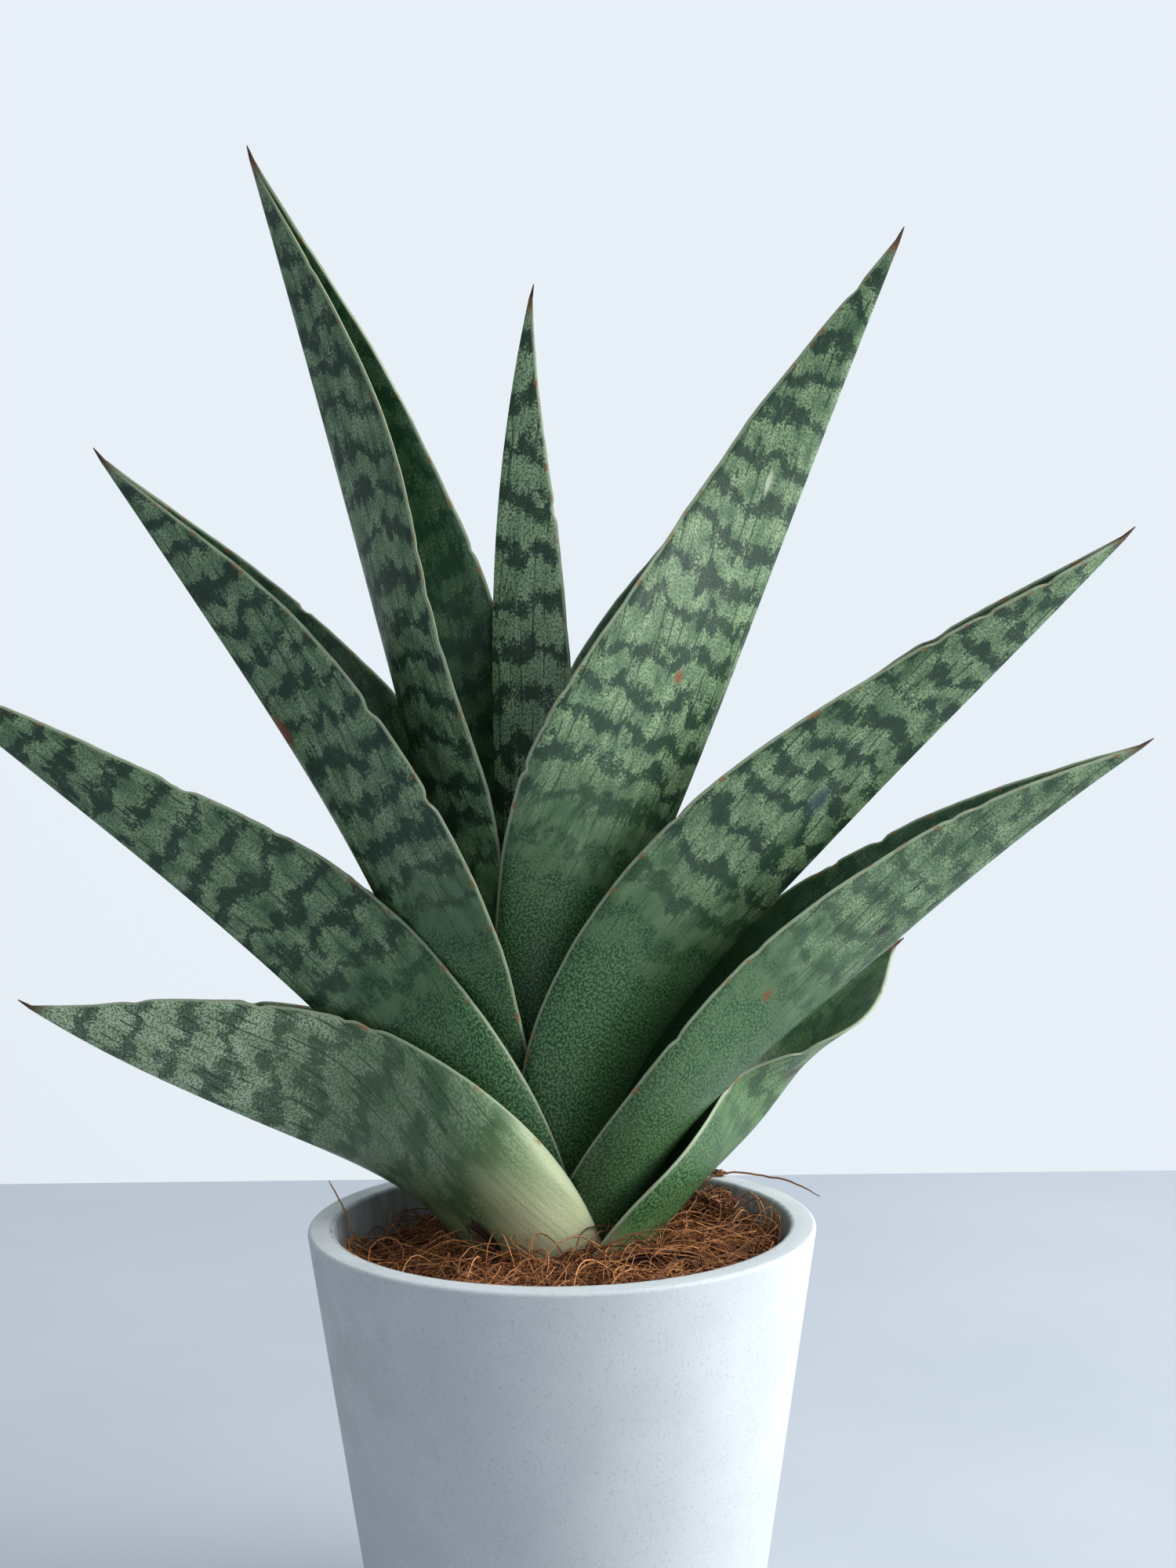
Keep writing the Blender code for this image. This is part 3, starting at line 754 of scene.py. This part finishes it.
@dataclass
class Leaf:
    """A channelled blade with a rounded keel, thin wavy margins and a dried spine at its tip."""

    design: LeafDesign
    stations: int = 190
    columns: int = 14
    foot_y: float = 20.0
    foot_height: float = 95.0
    margin_wall: float = 1.0
    channel_open: float = 0.15
    tip_radius: float = 0.8
    spine: float = 4.5
    spine_stations: int = 8

    def frames(self, s: np.ndarray) -> tuple[np.ndarray, np.ndarray, np.ndarray, np.ndarray]:
        """Where the keel runs and how the channel is turned.

        Args:
            s: fractions of the leaf's length.

        Returns:
            Keel points, and the directions along, up out of the keel and towards -Y.
        """
        leaf = self.design
        fine = np.linspace(0.0, 1.0, 241)

        def directions(at: np.ndarray) -> tuple[np.ndarray, np.ndarray]:
            """The directions along the keel and square to it, in the leaf's own upright plane."""
            lean, swing = np.radians(through(leaf.lean, at)), np.radians(through(leaf.swing, at))
            out_x, out_y = leaf.rank * np.cos(swing), -np.sin(swing)
            along = np.stack([np.sin(lean) * out_x, np.sin(lean) * out_y, np.cos(lean)], -1)
            return along, np.stack([-np.cos(lean) * out_x, -np.cos(lean) * out_y, np.sin(lean)], -1)

        steps = directions(fine)[0]
        walked = np.cumsum((steps[1:] + steps[:-1]) / 2 * leaf.length / 240, axis=0)
        keel = np.concatenate([[[0.0, 0.0, 0.0]], walked]) + (leaf.foot_x, self.foot_y, self.foot_height)
        keel = np.stack([np.interp(s, fine, keel[:, axis]) for axis in range(3)], -1)
        along, up = directions(s)
        near = leaf.rank * np.cross(along, up)
        roll = np.radians(through(leaf.roll, s))[:, None]
        return keel, along, up * np.cos(roll) + near * np.sin(roll), near * np.cos(roll) - up * np.sin(roll)

    def section(self, s: np.ndarray) -> tuple[np.ndarray, np.ndarray, np.ndarray, np.ndarray]:
        """Depth and half width of one arm, outside and inside, from keel to margin.

        Args:
            s: fractions of the leaf's length.

        Returns:
            Outer depth and half width, then inner depth and half width.
        """
        leaf = self.design
        a = np.linspace(0.0, 1.0, self.columns + 1)[None, :]
        reach = (np.maximum(through([*leaf.reach, 0], s), 0) + self.tip_radius)[:, None]
        spread = (np.maximum(through([*leaf.spread, 0], s), 0) + self.tip_radius)[:, None]
        wrap = math.radians(leaf.wrap)
        widest = 1.0 if leaf.wrap > 90 else math.sin(wrap)
        opened = np.clip((s - 0.1) / 0.45, 0.0, 1.0)[:, None]
        opened = opened * opened * (3 - 2 * opened)
        depth = reach * (1 - np.cos(a * wrap)) / (1 - math.cos(wrap)) * (1 - opened) + reach * a**1.3 * opened
        half = spread * np.sin(a * wrap) / widest * (1 - opened) + spread * a**0.95 * opened
        keel_wall = np.minimum(leaf.wall * (1 - 0.7 * s)[:, None], 0.45 * reach)
        margin_wall = np.minimum(self.margin_wall, 0.45 * spread)
        wall = margin_wall + (keel_wall - margin_wall) * (1 - a) ** 1.6
        run, rise = np.gradient(depth, axis=1), np.gradient(half, axis=1)
        slope = np.sqrt(run**2 + rise**2) + 1e-9
        inner_depth = depth + rise / slope * wall
        inner_half = np.maximum(half - run / slope * wall, self.channel_open * half)
        inner_depth[:, 0] = keel_wall[:, 0]
        inner_half[:, 0] = 0.0
        return depth, half, np.maximum.accumulate(inner_depth, axis=1), inner_half

    def margin_wave(self, s: np.ndarray, side: int) -> np.ndarray:
        """How far the margin stands off its smooth line: slow waves and a few worn notches."""
        pick = random.Random(self.design.finish.seed * 10 + side)
        along = s * self.design.length
        wave = np.array([0.45 * noise.noise(Vector((v / 17, side * 5.0, float(self.design.finish.seed)))) for v in along])
        wave += np.array([0.16 * noise.noise(Vector((v / 4.5, side * 9.0, 3.0))) for v in along])
        for _ in range(4):
            middle, width, bite = pick.uniform(0.35, 0.96), pick.uniform(1.2, 3.0), pick.uniform(0.5, 1.3)
            wave -= bite * np.exp(-(((along - middle * self.design.length) / width) ** 2))
        return wave * np.clip((1 - s) * 12, 0, 1) * np.clip(s * 6 - 1, 0, 1)

    def grid(self) -> tuple[np.ndarray, np.ndarray, np.ndarray]:
        """Ring points from foot to spine.

        Returns:
            Points in millimetres, the blade coordinates and the distances from the margin, each
            indexed by station and place round the ring.
        """
        leaf = self.design
        s = np.linspace(0.0, 1.0, self.stations) ** 0.95
        keel, along, up, near = self.frames(s)
        depth, half, deep_in, half_in = self.section(s)
        a = np.linspace(0.0, 1.0, self.columns + 1)
        arm = np.concatenate([np.zeros((len(s), 1)), np.cumsum(np.hypot(np.diff(depth), np.diff(half)), axis=1)], axis=1)
        arm_length = arm[:, -1:]
        points, across, inner, margin = [], [], [], []
        waves = {side: self.margin_wave(s, side)[:, None] * a[None, :] ** 7 for side in (1, -1)}

        def lay(deep: np.ndarray, wide: np.ndarray, column: int, side: int, within: float, past: float = 0.0) -> None:
            """Adds one lengthwise line of points at a column of one arm."""
            wave = waves[side][:, column] + past
            d = deep[:, column] + wave * 0.8
            w = wide[:, column] + wave * 0.3
            points.append(keel + up * d[:, None] + near * (side * w)[:, None])
            across.append(side * arm[:, column])
            inner.append(np.full(len(s), within))
            margin.append(arm_length[:, 0] - arm[:, column])

        middle_depth, middle_half = (depth + deep_in) / 2, (half + half_in) / 2
        for column in range(self.columns, 0, -1):
            lay(depth, half, column, 1, 0.0)
        for column in range(0, self.columns + 1):
            lay(depth, half, column, -1, 0.0)
        lay(middle_depth, middle_half, self.columns, -1, 0.5, 0.4)
        for column in range(self.columns, 0, -1):
            lay(deep_in, half_in, column, -1, 1.0)
        for column in range(0, self.columns + 1):
            lay(deep_in, half_in, column, 1, 1.0)
        lay(middle_depth, middle_half, self.columns, 1, 0.5, 0.4)

        points = np.stack(points, 1)
        heights = np.repeat((s * leaf.length)[:, None], points.shape[1], axis=1)
        blade = np.stack([np.stack(across, 1), heights, np.stack(inner, 1)], -1)
        margin = np.stack(margin, 1)
        centre = points[-1].mean(axis=0)
        shrink = np.linspace(1.0, 0.12, self.spine_stations + 1)[1:] ** 0.8
        reach = np.linspace(0.0, self.spine, self.spine_stations + 1)[1:]
        spine = [centre + along[-1] * out + (points[-1] - centre) * thin for out, thin in zip(reach, shrink)]
        points = np.concatenate([points, spine])
        tip = np.repeat(blade[-1:], self.spine_stations, axis=0).copy()
        tip[..., 1] += reach[:, None]
        blade = np.concatenate([blade, tip])
        margin = np.concatenate([margin, np.repeat(margin[-1:], self.spine_stations, axis=0)])
        return points, blade, margin

    def build(self) -> bpy.types.Object:
        """Wraps a grid into the blade and closes its foot and its tip."""
        points, blade, margin = self.grid()
        rows, ring = points.shape[:2]
        mesh = bmesh.new()
        bmesh.ops.create_grid(mesh, x_segments=ring, y_segments=rows - 1, size=1.0)
        where = mesh.verts.layers.float_vector.new("blade")
        edge = mesh.verts.layers.float.new("margin")
        mesh.verts.ensure_lookup_table()
        for index, vert in enumerate(mesh.verts):
            row, column = divmod(index, ring + 1)
            column %= ring
            vert.co = Vector(points[row, column].tolist()) * MM
            vert[where] = blade[row, column].tolist()
            vert[edge] = float(margin[row, column])
        bmesh.ops.remove_doubles(mesh, verts=mesh.verts, dist=0.000001)
        bmesh.ops.holes_fill(mesh, edges=[border for border in mesh.edges if border.is_boundary])
        bmesh.ops.recalc_face_normals(mesh, faces=mesh.faces)
        leaf = self.design
        finish = leaf.finish.material(leaf.name, leaf.length)
        return finished_piece(leaf.name + "_blade", mesh, finish, "leaf_banded", leaf.name)


LEAVES = (
    LeafDesign(
        "leaf_back_right", 1, 23.05, 151, (-5, 53, 42, 64), (-10, -7, 9, 28), (22, 17.5, 22, 12),
        (23.2, 27.7, 9, 20), (-4, -25, -37, -36), 75, 3,
        BladeFinish(1, pale="#86A66E", grey="#6A8E58", strength=0.6, bands_from=60, marks=(Mark(10, 92, 2.5, 5, "#4A2E1C"),)),
    ),
    LeafDesign(
        "leaf_low_left", -1, -22, 176, (7, 60, 65, 57), (-3, -8, -10, -18), (37, 39.5, 38.5, 25),
        (15, 40, 16.5, 12), (0, 0), 120, 3,
        BladeFinish(2, pale="#CBDAB4", grey="#A0B98C", strength=0.7, period=15, plainness=0.55, bands_from=84, blanched=46, cream=0.9),
    ),
    LeafDesign(
        "leaf_low_right", 1, 16, 242, (1, 45, 49, 55), (-4, 4, 4, 2), (24, 23.5, 29, 19.5),
        (9.5, 29, 22, 10), (4, 4), 110, 4,
        BladeFinish(
            3, strength=0.6, plainness=0.85, bands_from=120,
            marks=(Mark(9, 150, 2.0, 4.5, "#24301F"), Mark(24, 112, 2.0, 2.5, "#7A4A26")),
        ),
    ),
    LeafDesign(
        "leaf_left", -1, -15.8, 272, (12, 41, 49, 50), (-3, -5, -11, -26), (23, 34, 35.5, 18),
        (7, 27, 11.5, 11), (2, 2), 110, 3,
        BladeFinish(4, bands_from=100, rust=0.7, marks=(Mark(40, 52, 1.6, 7, "#9A5A2A"),)),
    ),
    LeafDesign(
        "leaf_right", 1, 10, 295, (-11, 36, 44, 44), (5, -8, -7, 13), (2, 30, 35, 22.5),
        (2, 22.5, 26, 10), (3, 3), 110, 3.5,
        BladeFinish(5, bands_from=120, rust=0.8, marks=(Mark(14, 178, 3.0, 6, "#2F4A50"),)),
    ),
    LeafDesign(
        "leaf_upper_left", -1, -10, 291, (13, 21, 31, 33), (-10, 3, 10, 17), (2, 21.5, 33, 25),
        (3.5, 12, 28, 7.5), (2, 2), 110, 3,
        BladeFinish(6, bands_from=125, marks=(Mark(2, 196, 3.0, 7, "#8A4A2E"),)),
    ),
    LeafDesign(
        "leaf_upper_right", 1, 6, 341, (-10, 20, 21, 22), (1, -5, 1, -32), (2, 28.5, 45.5, 25.5),
        (3, 8, 34, 14), (2, 2), 110, 3.5,
        BladeFinish(
            7, bands_from=140, rust=0.6, tip="#6E4030",
            marks=(Mark(12, 262, 1.2, 5, "#B9C4A8"), Mark(22, 200, 2.0, 2.5, "#8A4A2E")),
        ),
    ),
    LeafDesign(
        "leaf_tall_left", -1, -5, 358, (11, 13, 14, 15), (1, -5, 34, 36), (2, 6.5, 25, 28),
        (2.5, 2, 21.5, 6), (0, 0), 100, 4.5,
        BladeFinish(8, bands_from=125, tip="#6E4030", marks=(Mark(-14, 262, 2.2, 2.6, "#7A4A26"),)),
    ),
    LeafDesign(
        "leaf_centre", -1, -1, 310, (13, 4, -1, -13), (-5, 6, -2, -2), (2, 2, 21.5, 18.5),
        (2, 2, 9, 5), (0, 0), 90, 3.5,
        BladeFinish(9, period=15, pale="#A8BE95", grey="#84A077", bands_from=130, tip="#8A5A30"),
    ),
)


# ---------------------------------------------------------------- hidden crown, stage, light and camera


@dataclass
class Crown:
    """The rhizome and the roots inside the fill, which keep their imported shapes."""

    nodes: dict

    def dress(self) -> None:
        """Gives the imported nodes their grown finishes."""
        bark = PlainFinish("rhizome skin", "#B57A3C", "#8A5526", 9, 0.8, 0.6).material()
        root = PlainFinish("root skin", "#C79A62", "#A5743E", 6, 0.6, 0.75).material()
        for name, node in self.nodes.items():
            if name == "rhizome" or name.startswith("root_"):
                node.data.materials.clear()
                node.data.materials.append(bark if name == "rhizome" else root)
                log.info("%s dressed", name)


@dataclass
class Studio:
    """A pale table, a soft window from the right and the camera."""

    table_reach: tuple = (1100.0, 700.0, 587.0)
    table_thickness: float = 18.0
    key_place: tuple = (1.15, -0.12, 0.78)
    key_size: float = 1.1
    key_watts: float = 26.0
    sky_bright: str = "#EDF5FD"
    sky_dim: str = "#8C98A6"
    camera_place: tuple = (0.0047, -0.7568, 0.3327)
    camera_pitch: float = 5.37
    camera_yaw: float = 0.325
    camera_roll: float = -0.595
    lens: float = 60.0

    def table(self) -> bpy.types.Object:
        """A long top with eased edges, under the pot; its far edge runs straight behind the plant."""
        half_x, front, back = (size * MM for size in self.table_reach)
        mesh = bmesh.new()
        bmesh.ops.create_grid(mesh, x_segments=1, y_segments=1, size=1.0)
        bmesh.ops.scale(mesh, verts=mesh.verts, vec=(half_x, (front + back) / 2, 1.0))
        bmesh.ops.translate(mesh, verts=mesh.verts, vec=(0, (back - front) / 2, 0))
        top = mesh.edges[:]
        raised = bmesh.ops.extrude_face_region(mesh, geom=mesh.faces[:], use_keep_orig=True)["geom"]
        lowered = [item for item in raised if isinstance(item, bmesh.types.BMVert)]
        bmesh.ops.translate(mesh, verts=lowered, vec=(0, 0, -self.table_thickness * MM))
        bmesh.ops.bevel(mesh, geom=top, offset=0.002, segments=3, affect="EDGES", profile=0.5, material=-1)
        bmesh.ops.recalc_face_normals(mesh, faces=mesh.faces)
        data = bpy.data.meshes.new("table_top")
        mesh.to_mesh(data)
        mesh.free()
        data.materials.append(PlainFinish("matt painted table", "#AFB6BD", "#B5BBC1", 160, 1.5, 0.6).material())
        table = bpy.data.objects.new("table_top", data)
        bpy.context.scene.collection.objects.link(table)
        return table

    def light(self) -> None:
        """A cool sky that is brightest behind and to the right, and one large soft key."""
        scene = bpy.context.scene
        world = bpy.data.worlds.new("soft room")
        scene.world = world
        world.use_nodes = True
        add = partial(add_node, world.node_tree)
        towards = add("TexCoord").outputs["Generated"]
        bright = Vector((0.58, 0.6, 0.55)).normalized()
        facing = add("VectorMath", {0: towards, 1: bright}, operation="DOT_PRODUCT").outputs["Value"]
        share = add("MapRange", {0: facing, 1: -0.5, 2: 0.46}, interpolation_type="SMOOTHSTEP").outputs[0]
        feeds = {0: share, 6: linear(self.sky_dim), 7: linear(self.sky_bright)}
        sky = add("Mix", feeds, data_type="RGBA").outputs[2]
        background = world.node_tree.nodes["Background"]
        world.node_tree.links.new(sky, background.inputs["Color"])
        background.inputs["Strength"].default_value = 0.95
        lamp = bpy.data.lights.new("window", "AREA")
        lamp.size = self.key_size
        lamp.energy = self.key_watts
        lamp.color = linear("#FCFDFF")[:3]
        window = bpy.data.objects.new("window", lamp)
        window.location = self.key_place
        aim = Vector((0.0, 0.0, 0.2)) - Vector(self.key_place)
        window.rotation_euler = aim.to_track_quat("-Z", "Y").to_euler()
        scene.collection.objects.link(window)
        scene.view_settings.view_transform = "Standard"

    def camera(self) -> None:
        """A camera a little above the leaves' middle, looking slightly down at the pot."""
        pitch, yaw, roll = (math.radians(a) for a in (self.camera_pitch, self.camera_yaw, self.camera_roll))
        ahead = Vector((math.sin(yaw) * math.cos(pitch), math.cos(yaw) * math.cos(pitch), -math.sin(pitch)))
        right = Vector((math.cos(yaw), -math.sin(yaw), 0.0))
        up = right.cross(ahead)
        level = right * math.cos(roll) + up * math.sin(roll)
        upright = up * math.cos(roll) - right * math.sin(roll)
        turned = Matrix((level, upright, -ahead)).transposed().to_4x4()
        data = bpy.data.cameras.new("camera")
        data.sensor_fit = "VERTICAL"
        data.sensor_height = 36.0
        data.lens = self.lens
        camera = bpy.data.objects.new("camera", data)
        camera.matrix_world = Matrix.Translation(self.camera_place) @ turned
        bpy.context.scene.collection.objects.link(camera)
        bpy.context.scene.camera = camera

    def build(self) -> None:
        """Sets the table, the light and the camera."""
        self.table()
        self.light()
        self.camera()


def main() -> None:
    """Builds the plant's pieces in order, then the studio."""
    logging.basicConfig(level=logging.INFO, format="%(name)s: %(message)s")
    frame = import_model()
    pot = PotDesign()
    pot.build()
    bed = CoirBed(pot)
    bed.build()
    LooseCoir(bed).build()
    for design in LEAVES:
        Leaf(design).build()
    Crown(frame["nodes"]).dress()
    Studio().build()


if __name__ == "__main__":
    main()
